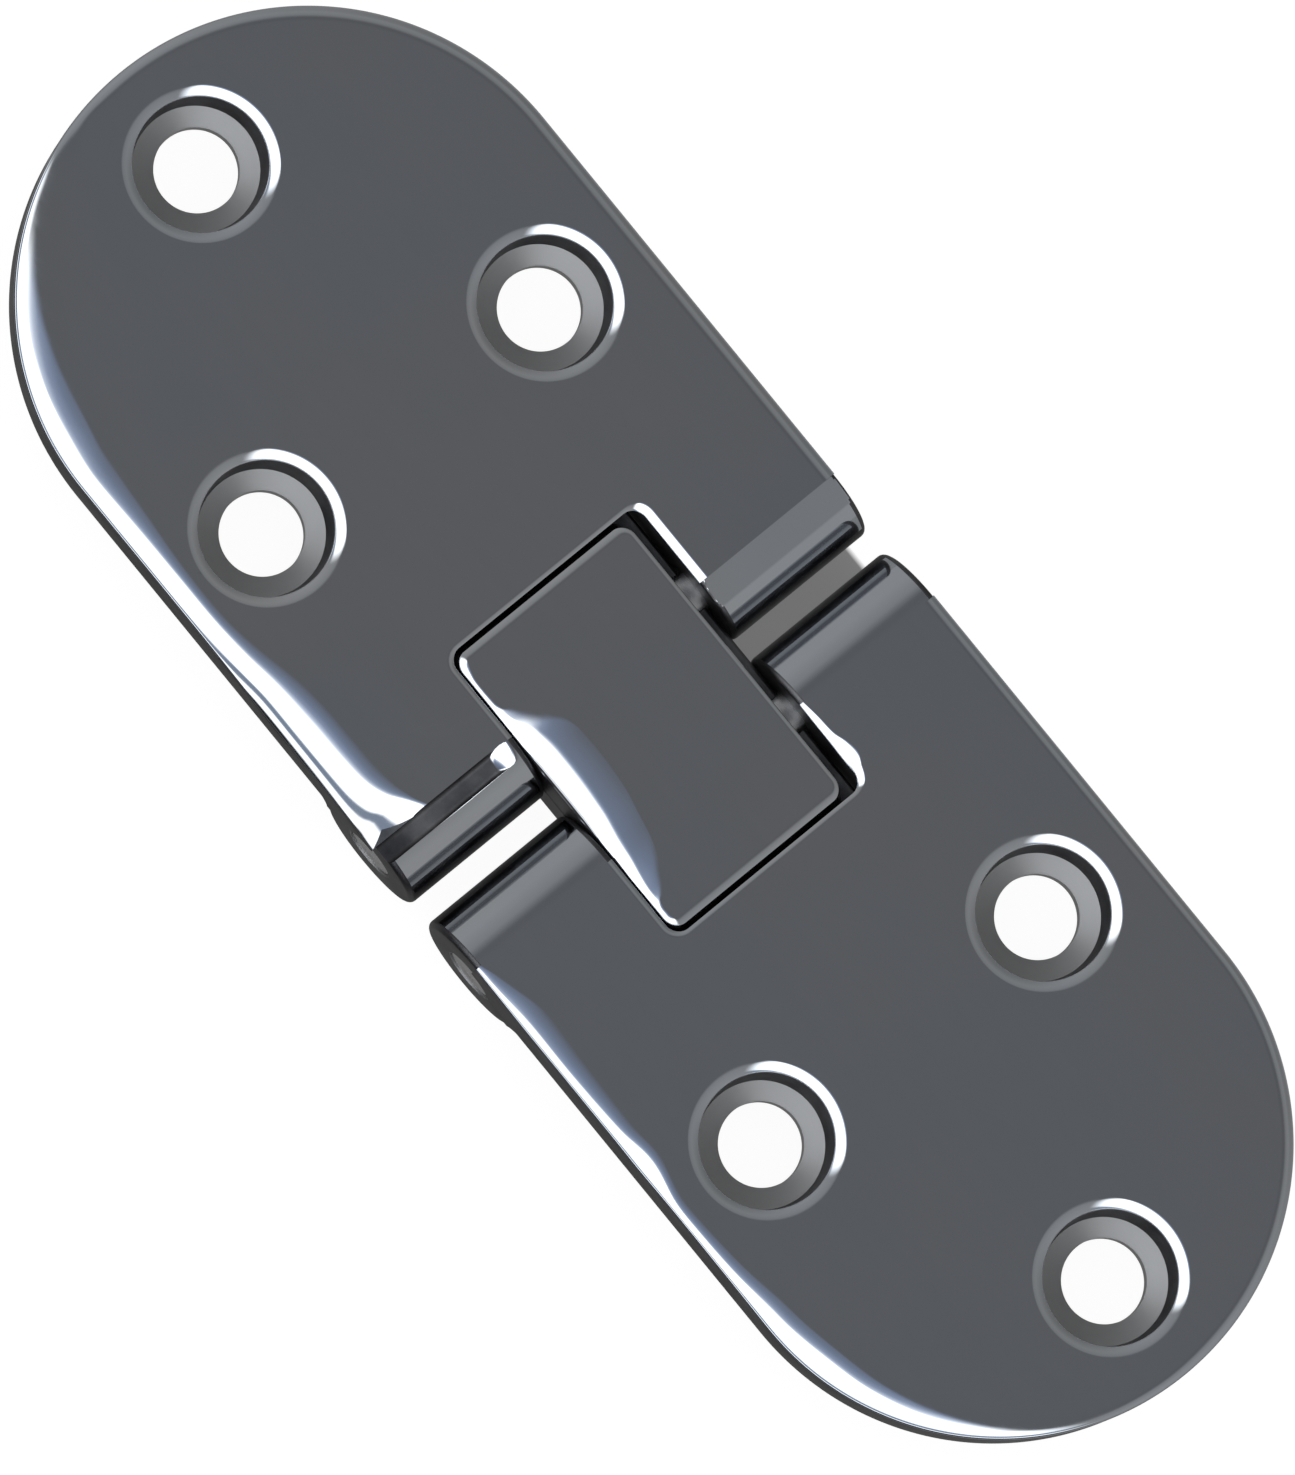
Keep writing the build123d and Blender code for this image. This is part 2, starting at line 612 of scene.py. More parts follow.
@dataclass(frozen=True)
class Steel:
    """One finish of the steel: its colour, how dull it is, and how its surface is worked."""

    name: str
    colour: tuple[float, float, float]
    roughness: tuple[float, float]
    bump_depth: float

    def start(self) -> tuple[Wiring, bpy.types.Node, bpy.types.NodeSocket, bpy.types.Material]:
        """Starts the material.

        Returns:
            The material's wiring, its Principled BSDF, the Object coordinates and the material.
        """
        material = bpy.data.materials.new(self.name)
        material.use_nodes = True
        wiring = Wiring(material.node_tree)
        shader = material.node_tree.nodes["Principled BSDF"]
        shader.inputs["Metallic"].default_value = 1.0
        shader.inputs["Base Color"].default_value = (*self.colour, 1.0)
        place = wiring.add("ShaderNodeTexCoord").outputs["Object"]
        return wiring, shader, place, material

    def use(self, wiring: Wiring, group: bpy.types.NodeTree, place: bpy.types.NodeSocket,
            values: dict | None = None) -> bpy.types.Node:
        """Places a shared effect in the material.

        Args:
            wiring: The material's wiring.
            group: The effect's node group.
            place: The coordinates that it reads.
            values: This material's own values for it.

        Returns:
            The group node.
        """
        node = wiring.add("ShaderNodeGroup", node_tree=group)
        wiring.feed(node.inputs["Place"], place)
        for name, value in (values or {}).items():
            wiring.feed(node.inputs[name], value)
        return node

    def dull(self, wiring: Wiring, shader: bpy.types.Node, mask: bpy.types.NodeSocket) -> None:
        """Runs the roughness between its two values by a mask."""
        low, high = self.roughness
        wiring.feed(shader.inputs["Roughness"], wiring.math("MULTIPLY_ADD", mask, high - low, low))

    def relief(self, wiring: Wiring, shader: bpy.types.Node, height: bpy.types.NodeSocket) -> None:
        """Gives the surface its relief, bump_depth millimetres deep."""
        bump = wiring.add("ShaderNodeBump", {
            "Strength": 1.0, "Distance": self.bump_depth * MM, "Height": height})
        wiring.feed(shader.inputs["Normal"], bump.outputs["Normal"])


@dataclass(frozen=True)
class PolishedSteel(Steel):
    """Mirror-polished stainless steel with the faint waves and hairlines of hand buffing."""

    cool: tuple[float, float, float] = (0.58, 0.61, 0.65)
    drift_scale: float = 55.0
    score_depth: float = -0.03

    def build(self, polish: bpy.types.NodeTree, scratches: bpy.types.NodeTree) -> bpy.types.Material:
        """Builds the material.

        Args:
            polish: The hand polish group.
            scratches: The fine scratches group.

        Returns:
            The material.
        """
        wiring, shader, place, material = self.start()
        worked = self.use(wiring, polish, place)
        scored = self.use(wiring, scratches, place).outputs["Mask"]
        self.dull(wiring, shader, wiring.math("MAXIMUM", worked.outputs["Haze"], scored))
        drift = wiring.noise(place, self.drift_scale, 2.0)
        wiring.feed(shader.inputs["Base Color"], wiring.ramp(drift, [(0.38, self.colour), (0.62, self.cool)]))
        height = wiring.math("MULTIPLY_ADD", scored, self.score_depth, worked.outputs["Height"])
        self.relief(wiring, shader, height)
        return material


@dataclass(frozen=True)
class TurnedSteel(Steel):
    """Machined steel in the screw seats, satin from the cutter."""

    patch_scale: float = 500.0

    def build(self, marks: bpy.types.NodeTree) -> bpy.types.Material:
        """Builds the material.

        Args:
            marks: The turning marks group.

        Returns:
            The material.
        """
        wiring, shader, place, material = self.start()
        height = self.use(wiring, marks, place).outputs["Height"]
        self.dull(wiring, shader, wiring.noise(place, self.patch_scale, 2.0))
        self.relief(wiring, shader, height)
        return material


@dataclass(frozen=True)
class CastSteel(Steel):
    """Unpolished casting skin on the sides and the underside. Its dark tone is partly the skin's own and
    partly painted shade and dark reflection on those sides, recesses and lower barrels.
    """

    dark: tuple[float, float, float] = (0.05, 0.05, 0.055)

    def build(self, grain: bpy.types.NodeTree) -> bpy.types.Material:
        """Builds the material.

        Args:
            grain: The cast grain group.

        Returns:
            The material.
        """
        wiring, shader, place, material = self.start()
        skin = self.use(wiring, grain, place)
        tone = wiring.ramp(skin.outputs["Tone"], [(0.3, self.dark), (0.7, self.colour)])
        wiring.feed(shader.inputs["Base Color"], tone)
        self.dull(wiring, shader, skin.outputs["Tone"])
        self.relief(wiring, shader, skin.outputs["Height"])
        return material


@dataclass(frozen=True)
class GroundSteel(Steel):
    """Ground pin stock: bright, with lines round the pin."""

    line_stretch: tuple[float, float, float] = (0.3, 4.0, 0.3)
    line_scale: float = 1500.0

    def build(self) -> bpy.types.Material:
        """Builds the material.

        Returns:
            The material.
        """
        wiring, shader, place, material = self.start()
        lines = wiring.noise(wiring.stretch(place, self.line_stretch), self.line_scale, 3.0)
        self.dull(wiring, shader, lines)
        self.relief(wiring, shader, lines)
        return material


@dataclass
class Finishes:
    """All the steel finishes, built once."""

    centres: tuple[tuple[float, float], ...]
    polished: bpy.types.Material = field(init=False)
    satin: bpy.types.Material = field(init=False)
    cast: bpy.types.Material = field(init=False)
    ground: bpy.types.Material = field(init=False)

    def __post_init__(self) -> None:
        """Builds the shared effects and the materials."""
        polish = HandPolish().build()
        scratches = FineScratches().build()
        grain = CastGrain().build()
        marks = TurningMarks(centres=self.centres).build()
        self.polished = PolishedSteel("polished_steel", (0.60, 0.615, 0.635), (0.035, 0.10), 0.012).build(
            polish, scratches)
        self.satin = TurnedSteel("turned_steel", (0.42, 0.42, 0.42), (0.45, 0.55), 0.0015).build(marks)
        self.cast = CastSteel("cast_steel_and_shade", (0.16, 0.16, 0.165), (0.38, 0.55), 0.012).build(grain)
        self.ground = GroundSteel("ground_steel", (0.52, 0.52, 0.53), (0.16, 0.30), 0.001).build()

    def coat(self, piece: bpy.types.Object, finish: Finish) -> bpy.types.Object:
        """Puts a casting's three finishes into a solid's slots, and gives all its faces one of them.

        Args:
            piece: The solid.
            finish: The finish of its faces, which those that it leaves in a boolean keep.

        Returns:
            The solid.
        """
        piece.data.materials.clear()
        for material in (self.polished, self.satin, self.cast):
            piece.data.materials.append(material)
        finish_faces(piece, finish)
        return piece


@dataclass
class HingeSizes:
    """The sizes that the pieces share, the same as the CAD model's, in millimetres."""

    half_length: float = 55.0
    half_width: float = 19.7
    top: float = 8.6
    under: float = 4.6
    pin_x: float = 5.15
    pin_z: float = 4.3
    barrel_radius: float = 4.3
    barrel_half: float = 19.6
    pin_radius: float = 2.0
    slot_half: float = 8.05
    slot_radius: float = 7.877
    slot_reach: float = 6.6
    pocket_end: float = 9.877
    pocket_top: float = 5.8
    holes: tuple[tuple[float, float], ...] = ((-47.0, 0.0), (-25.8, -11.9), (-25.8, 11.9))


@dataclass
class Leaf:
    """One cast leaf, modelled as the left one and turned round for the right one."""

    name: str
    node: str
    body: str
    sizes: HingeSizes
    finishes: Finishes
    turned: bool
    edge_widths: Sequence[tuple[float, float]]
    edge_angles: Sequence[tuple[float, float]]
    edge_softness: Sequence[tuple[float, float]]
    edge_fringes: Sequence[tuple[float, float]]
    lit_lip: Sequence[tuple[float, float]]
    crown_slope: float
    grooved: bool
    polish_to: float = 66.0
    under_bevel: float = 0.35
    slot_lip: float = 0.38
    slot_corner: float = 1.0
    plain_lip: float = 0.45
    lip_corner: float = 0.1
    lip_angle: float = 38.0
    lit_flattening: float = 9.0
    lit_softening: float = 0.62
    seat_radius: float = 4.25
    seat_offset: float = 0.2
    seat_depth: float = 1.0
    rim_radius: float = 4.5
    bore_radius: float = 2.85
    sink: float = 1.9
    rim_width: float = 0.7
    rim_angle: float = 29.0
    rim_corner: float = 0.12
    rim_softness: float = 0.4
    rim_flare: float = 0.03
    mouth_overrun: float = 1.5
    web_round: float = 2.0
    outer_bevel: float = 0.4
    groove_depth: float = 0.57
    groove_inner: float = -8.7
    groove_slope: float = 1.4
    polished_tilt: float = 0.4

    @property
    def cap_x(self) -> float:
        """Where the centre of the leaf's round end is."""
        return self.sizes.half_width - self.sizes.half_length

    def along_edge(self, home: Vector) -> tuple[float, Vector]:
        """Measures along the outline from the knuckle, down the near side, round the end and back.

        Args:
            home: A point of the outline, in metres.

        Returns:
            How far along it is in millimetres, and the direction out of the outline there.
        """
        x, y, half = home.x / MM, home.y / MM, self.sizes.half_width
        run = -self.sizes.pin_x - self.cap_x
        if x < self.cap_x - 1e-4:
            turn = math.atan2(x - self.cap_x, -y)
            return run + half * -turn, Vector((x - self.cap_x, y, 0)).normalized()
        if y < 0:
            return -self.sizes.pin_x - x, Vector((0, -1, 0))
        return run + math.pi * half + x - self.cap_x, Vector((0, 1, 0))

    def edge_at(self, along: float) -> EdgeShape:
        """Gives the shape of the buffed edge at a place along the outline."""
        return EdgeShape(width=max(read_table(self.edge_widths, along), 0.1),
                         end_angle=math.radians(read_table(self.edge_angles, along)),
                         softness=read_table(self.edge_softness, along),
                         fringe=max(read_table(self.edge_fringes, along), 0.0))

    def lip_at(self, x: float, outwards: Vector) -> EdgeShape:
        """Gives the shape of the slot's lip, which was buffed wider on the side away from the near edge.

        Args:
            x: Where the place is along the hinge, in millimetres.
            outwards: The direction out of the slot there.

        Returns:
            The lip's section.
        """
        lit = smooth_step(outwards.y * (-1 if self.turned else 1))
        width = self.plain_lip + (read_table(self.lit_lip, x) - self.plain_lip) * lit
        return EdgeShape(width=width, end_angle=math.radians(self.lip_angle - self.lit_flattening * lit),
                         corner=self.lip_corner, softness=1 - self.lit_softening * lit)

    def outline(self) -> bpy.types.Object:
        """Draws the half stadium as a chain of edges, open at the knuckle.

        Returns:
            The chain.
        """
        sizes = self.sizes
        run = -sizes.pin_x - self.cap_x
        bpy.ops.mesh.primitive_circle_add(vertices=360, radius=sizes.half_width * MM, fill_type="NOTHING",
                                          location=(self.cap_x * MM, 0, 0))
        piece = new_piece(self.name)
        with editing(piece):
            pick(piece, Part.VERTICES, lambda vertex: vertex.co.x > (self.cap_x + 0.01) * MM)
            bpy.ops.mesh.delete(type="VERT")
            pick(piece, Part.VERTICES, lambda vertex: same(vertex.co.x, self.cap_x * MM, ROUNDING * 10))
            bpy.ops.mesh.extrude_vertices_move(TRANSFORM_OT_translate={"value": (run * MM, 0, 0)})
            pick(piece, Part.EDGES, lambda edge: edge.calc_length() > run * MM / 2)
            bpy.ops.mesh.subdivide(number_cuts=91)
        return piece

    def plate(self) -> bpy.types.Object:
        """Builds the plate with its buffed edge, closed all round.

        Returns:
            The plate.
        """
        sizes = self.sizes
        piece = self.outline()
        shapes: dict[float, list[tuple[float, float]]] = {}

        def place(home: Vector, ring: int) -> Vector:
            """Gives the place of an outline point in a ring of the edge.

            Args:
                home: Where the point is in the outline, in metres.
                ring: The number of the ring, from below.

            Returns:
                Its place, in metres.
            """
            along, outwards = self.along_edge(home)
            key = round(along, 3)
            if key not in shapes:
                bevel = self.under_bevel
                steps = [(bevel * (1 - math.sin(turn)), sizes.under + bevel * (1 - math.cos(turn)))
                         for turn in (0, math.pi / 6, math.pi / 3, math.pi / 2)]
                rise = [(inset, sizes.top - fall) for inset, fall in self.edge_at(along).rings()]
                shapes[key] = steps + rise
            inset, height = shapes[key][ring]
            spot = home - outwards * inset * MM
            return Vector((spot.x, spot.y, height * MM))

        rings = 4 + EdgeShape.CORNER_STEPS + EdgeShape.ROLL_STEPS + 1
        with editing(piece):
            raise_rings(piece, rings, place)
            for height in (sizes.under, sizes.top):
                pick(piece, Part.VERTICES, lambda vertex: same(vertex.co.z, height * MM, ROUNDING / 10)
                     and same(vertex.co.x, -sizes.pin_x * MM))
                bpy.ops.mesh.edge_face_add()
                pick(piece, Part.VERTICES, lambda vertex: same(vertex.co.z, height * MM, ROUNDING / 10))
                bpy.ops.mesh.edge_face_add()
            pick(piece, Part.VERTICES, lambda vertex: same(vertex.co.x, -sizes.pin_x * MM))
            bpy.ops.mesh.edge_face_add()
            turn_outwards()
        # The sides and underside take the dark cast finish, which also paints the dark reflection and shade
        # that the sides show
        self.finishes.coat(piece, Finish.CAST)
        finish_faces(piece, Finish.POLISHED, lambda face: face.normal.z > self.polished_tilt)
        return piece

    def cut_slot(self, piece: bpy.types.Object) -> None:
        """Cuts the slot for the link, buffs its lip and cuts the stop's seat below it.

        Args:
            piece: The plate.
        """
        sizes = self.sizes
        drum = cylinder_along_y("drum", sizes.slot_radius, -sizes.pin_x, sizes.pin_z, -sizes.slot_half,
                                sizes.slot_half, 256)
        with editing(drum):
            pick(drum, Part.EDGES, keeps_across)
            bevel_picked(self.slot_corner, 6)
        combine(piece, self.finishes.coat(drum, Finish.CAST), Join.CUT)
        combine(piece, self.mouth(), Join.CUT)
        pocket = block("pocket", (-sizes.pin_x - sizes.pocket_end, -sizes.slot_half, sizes.under - 1),
                       (0, sizes.slot_half, sizes.pocket_top))
        combine(piece, self.finishes.coat(pocket, Finish.CAST), Join.CUT)

    def mouth(self) -> bpy.types.Object:
        """Builds the solid that the slot's buffed lip takes out.

        Returns:
            The solid, a flared rounded rectangle that is open past the knuckle end of the plate.
        """
        sizes = self.sizes
        far, near = -sizes.pin_x - sizes.slot_reach, -sizes.pin_x + self.mouth_overrun
        half, corner = sizes.slot_half, self.slot_corner
        inside, above = 0.006, 0.003
        foot, flare = (-0.3, 1.2), 0.01
        bpy.ops.mesh.primitive_plane_add(size=1, location=(0, 0, 0))
        piece = new_piece("mouth")
        with editing(piece):
            bpy.ops.mesh.select_all(action="SELECT")
            bpy.ops.transform.resize(value=((near - far) * MM, 2 * half * MM, 1), center_override=(0, 0, 0))
            bpy.ops.transform.translate(value=((near + far) / 2 * MM, 0, 0))
            pick(piece, Part.VERTICES, lambda vertex: vertex.co.x < -sizes.pin_x * MM)
            bpy.ops.mesh.bevel(offset=corner * MM, segments=12, affect="VERTICES")
            pick(piece, Part.FACES, lambda face: True)
            bpy.ops.mesh.delete(type="ONLY_FACE")
            pick(piece, Part.EDGES, lambda edge: edge.calc_length() > 3 * MM and keeps_across(edge))
            bpy.ops.mesh.subdivide(number_cuts=47)
        shapes: dict[tuple[float, float], list[tuple[float, float]]] = {}

        def place(home: Vector, ring: int) -> Vector:
            """Gives the place of a point of the mouth in a ring of its flare.

            Args:
                home: Where the point is in the mouth's outline, in metres.
                ring: The number of the ring, from below.

            Returns:
                Its place, in metres.
            """
            spot = Vector((home.x / MM, home.y / MM, 0))
            over_x = min(spot.x - (far + corner), 0)
            over_y = max(abs(spot.y) - (half - corner), 0) * math.copysign(1, spot.y)
            outwards = Vector((over_x, over_y, 0)).normalized()
            key = (round(spot.x, 4), round(spot.y, 4))
            if key not in shapes:
                rise = self.lip_at(spot.x, outwards).rings()
                outermost = rise[-1][0] + flare
                shapes[key] = ([foot] + [(inset - inside, fall) for inset, fall in rise[:-1]]
                               + [(outermost, -above), (outermost, -1.0)])
            inset, fall = shapes[key][ring]
            spot = spot + outwards * inset
            return Vector((spot.x * MM, spot.y * MM, (sizes.top - fall) * MM))

        rings = EdgeShape.CORNER_STEPS + EdgeShape.ROLL_STEPS + 3
        with editing(piece):
            raise_rings(piece, rings, place)
            bpy.ops.mesh.edge_face_add()
            bpy.ops.mesh.select_all(action="DESELECT")
            bpy.ops.mesh.select_mode(type="EDGE")
            bpy.ops.mesh.select_non_manifold()
            bpy.ops.mesh.edge_face_add()
            turn_outwards()
        return self.finishes.coat(piece, Finish.POLISHED)

    def hole_cutter(self, x: float, y: float) -> bpy.types.Object:
        """Builds the solid that one screw hole takes out, with its buffed rim.

        Args:
            x: Where the hole is along the hinge.
            y: Where it is across.

        Returns:
            The solid.
        """
        sizes = self.sizes
        low = sizes.under - 1
        seat_top = sizes.top - self.sink
        seat_low = seat_top - self.seat_depth
        rim = EdgeShape(width=self.rim_width, end_angle=math.radians(self.rim_angle), corner=self.rim_corner,
                        softness=self.rim_softness)
        falls = rim.rings()[:-1]
        steps = [(self.seat_radius, seat_top, self.seat_offset * (1 if self.turned else -1))]
        steps += [(self.rim_radius + inset, sizes.top - fall, 0.0) for inset, fall in falls]
        outermost = steps[-1][0] + self.rim_flare
        steps += [(outermost, sizes.top + 0.004, 0.0), (outermost, sizes.top + 1, 0.0)]
        bpy.ops.mesh.primitive_cylinder_add(
            vertices=144, radius=self.bore_radius * MM, depth=(seat_low - low) * MM,
            location=(x * MM, y * MM, (low + seat_low) / 2 * MM))
        piece = new_piece("hole_cutter")
        radius, height, offset = self.bore_radius, seat_low, 0.0
        with editing(piece):
            for next_radius, next_height, next_offset in steps:
                pick(piece, Part.FACES, lambda face: face.normal.z > 0.99 and len(face.verts) > 8)
                move = (0, (next_offset - offset) * MM, (next_height - height) * MM)
                bpy.ops.mesh.extrude_region_move(TRANSFORM_OT_translate={"value": move})
                share = next_radius / radius
                bpy.ops.transform.resize(value=(share, share, 1),
                                         center_override=(x * MM, (y + next_offset) * MM, next_height * MM))
                radius, height, offset = next_radius, next_height, next_offset
        self.finishes.coat(piece, Finish.SATIN)
        # The wall between the seat and the rim takes the dark cast finish, which paints shade into the hole's
        # recess
        finish_faces(piece, Finish.CAST, lambda face: face.center.z > (seat_top + 0.01) * MM)
        rim_low = sizes.top - falls[0][1]
        finish_faces(piece, Finish.POLISHED, lambda face: face.center.z > (rim_low + 0.01) * MM)
        return piece

    def lug(self, side: int) -> bpy.types.Object:
        """Builds one barrel with the web that joins it to the plate.

        Args:
            side: 1 for the far barrel and -1 for the near one.

        Returns:
            The barrel.
        """
        sizes = self.sizes
        inner = sizes.slot_half + 0.01
        ends = sorted((side * inner, side * sizes.barrel_half))
        barrel = cylinder_along_y("barrel", sizes.barrel_radius - 0.01, -sizes.pin_x, sizes.pin_z, *ends, 288)
        with editing(barrel):
            for end, offset in ((inner, self.slot_lip), (sizes.barrel_half, self.outer_bevel)):
                pick(barrel, Part.EDGES, lambda edge: all(
                    same(vertex.co.y, side * end * MM) for vertex in edge.verts))
                bevel_picked(offset, 5)
            if self.crown_slope and side > 0:
                self.grind_crown(barrel)
        # The barrel below its polished crown takes the dark cast finish, which also paints the shade on its
        # lower flanks
        self.finishes.coat(barrel, Finish.CAST)
        finish_faces(barrel, Finish.POLISHED, lambda face: abs(face.normal.y) < 0.1
                     and face.normal.z > math.cos(math.radians(self.polish_to)))
        quarter = block("quarter", (-sizes.pin_x - 5, ends[0] - 1, sizes.under + 0.2),
                        (-sizes.pin_x - 0.02, ends[1] + 1, sizes.top + 1))
        combine(barrel, self.finishes.coat(quarter, Finish.CAST), Join.CUT)

        reach = sizes.barrel_radius + self.web_round
        drop = sizes.under - self.web_round
        web_x = math.sqrt(reach ** 2 - (sizes.pin_z - drop) ** 2)
        touch = sizes.pin_z - (sizes.pin_z - drop) * sizes.barrel_radius / reach
        web = block("web", (-sizes.pin_x - web_x, ends[0] + 0.01, touch),
                    (-sizes.pin_x, ends[1] - 0.01, sizes.under + 0.3))
        hollow = cylinder_along_y("hollow", self.web_round, -sizes.pin_x - web_x, drop, -sizes.half_width,
                                  sizes.half_width, 96)
        for solid in (web, hollow):
            self.finishes.coat(solid, Finish.CAST)
        combine(web, hollow, Join.CUT)
        combine(barrel, web, Join.ADD)
        return barrel

    def grind_crown(self, barrel: bpy.types.Object) -> None:
        """Lowers the barrel's crown, on its gap side, to a slope that the wheel ground.

        Args:
            barrel: The barrel, in edit mode.
        """
        crest, fall = self.sizes.top - 0.01, math.tan(math.radians(self.crown_slope))
        mesh = bmesh.from_edit_mesh(barrel.data)
        for vertex in mesh.verts:
            past = vertex.co.x + self.sizes.pin_x * MM
            if past > 0:
                vertex.co.z = min(vertex.co.z, crest * MM - past * fall)
        bmesh.update_edit_mesh(barrel.data)

    def groove(self) -> bpy.types.Object:
        """Builds the solid of the groove between the plate and the near barrel, with its sloped inner end.

        Returns:
            The solid.
        """
        sizes = self.sizes
        low, slope = sizes.top - self.groove_depth, self.groove_slope
        piece = block("groove", (-sizes.pin_x - 0.1, -sizes.half_width - 2, low),
                      (-sizes.pin_x + 1.5, self.groove_inner, sizes.top + 1))
        inmost = (self.groove_inner - 0.3) * MM
        with editing(piece):
            pick(piece, Part.VERTICES, lambda vertex: vertex.co.y > inmost
                 and vertex.co.z < (low + 0.01) * MM)
            bpy.ops.transform.translate(value=(0, -slope * MM, 0))
            pick(piece, Part.VERTICES, lambda vertex: vertex.co.y > inmost and vertex.co.z > sizes.top * MM)
            bpy.ops.transform.translate(value=(0, slope / self.groove_depth * MM, 0))
            pick(piece, Part.EDGES, lambda edge: all(vertex.co.z < (low + 0.01) * MM for vertex in edge.verts)
                 and edge.calc_length() > 5 * MM)
            bevel_picked(0.45, 4)
        # Most of the groove's faces take the dark cast finish, which paints the shade of the crease
        self.finishes.coat(piece, Finish.CAST)
        finish_faces(piece, Finish.POLISHED, lambda face: face.normal.y > 0.2 and face.normal.z < -0.2)
        return piece

    def build(self) -> bpy.types.Object:
        """Builds, dresses and mounts the leaf.

        Returns:
            The leaf.
        """
        sizes = self.sizes
        piece = self.plate()
        self.cut_slot(piece)
        for x, y in sizes.holes:
            combine(piece, self.hole_cutter(x, y), Join.CUT)
        for side in (-1, 1):
            combine(piece, self.lug(side), Join.ADD)
        if self.grooved:
            combine(piece, self.groove(), Join.CUT)
        bore = cylinder_along_y("bore", sizes.pin_radius + 0.01, -sizes.pin_x, sizes.pin_z,
                                -sizes.half_width - 1, sizes.half_width + 1, 96)
        combine(piece, self.finishes.coat(bore, Finish.SATIN), Join.CUT)
        if self.turned:
            with editing(piece):
                bpy.ops.mesh.select_all(action="SELECT")
                bpy.ops.transform.resize(value=(-1, -1, 1), center_override=(0, 0, 0))
        settle_normals(piece)
        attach(piece, self.body)
        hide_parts(self.node)
        return piece


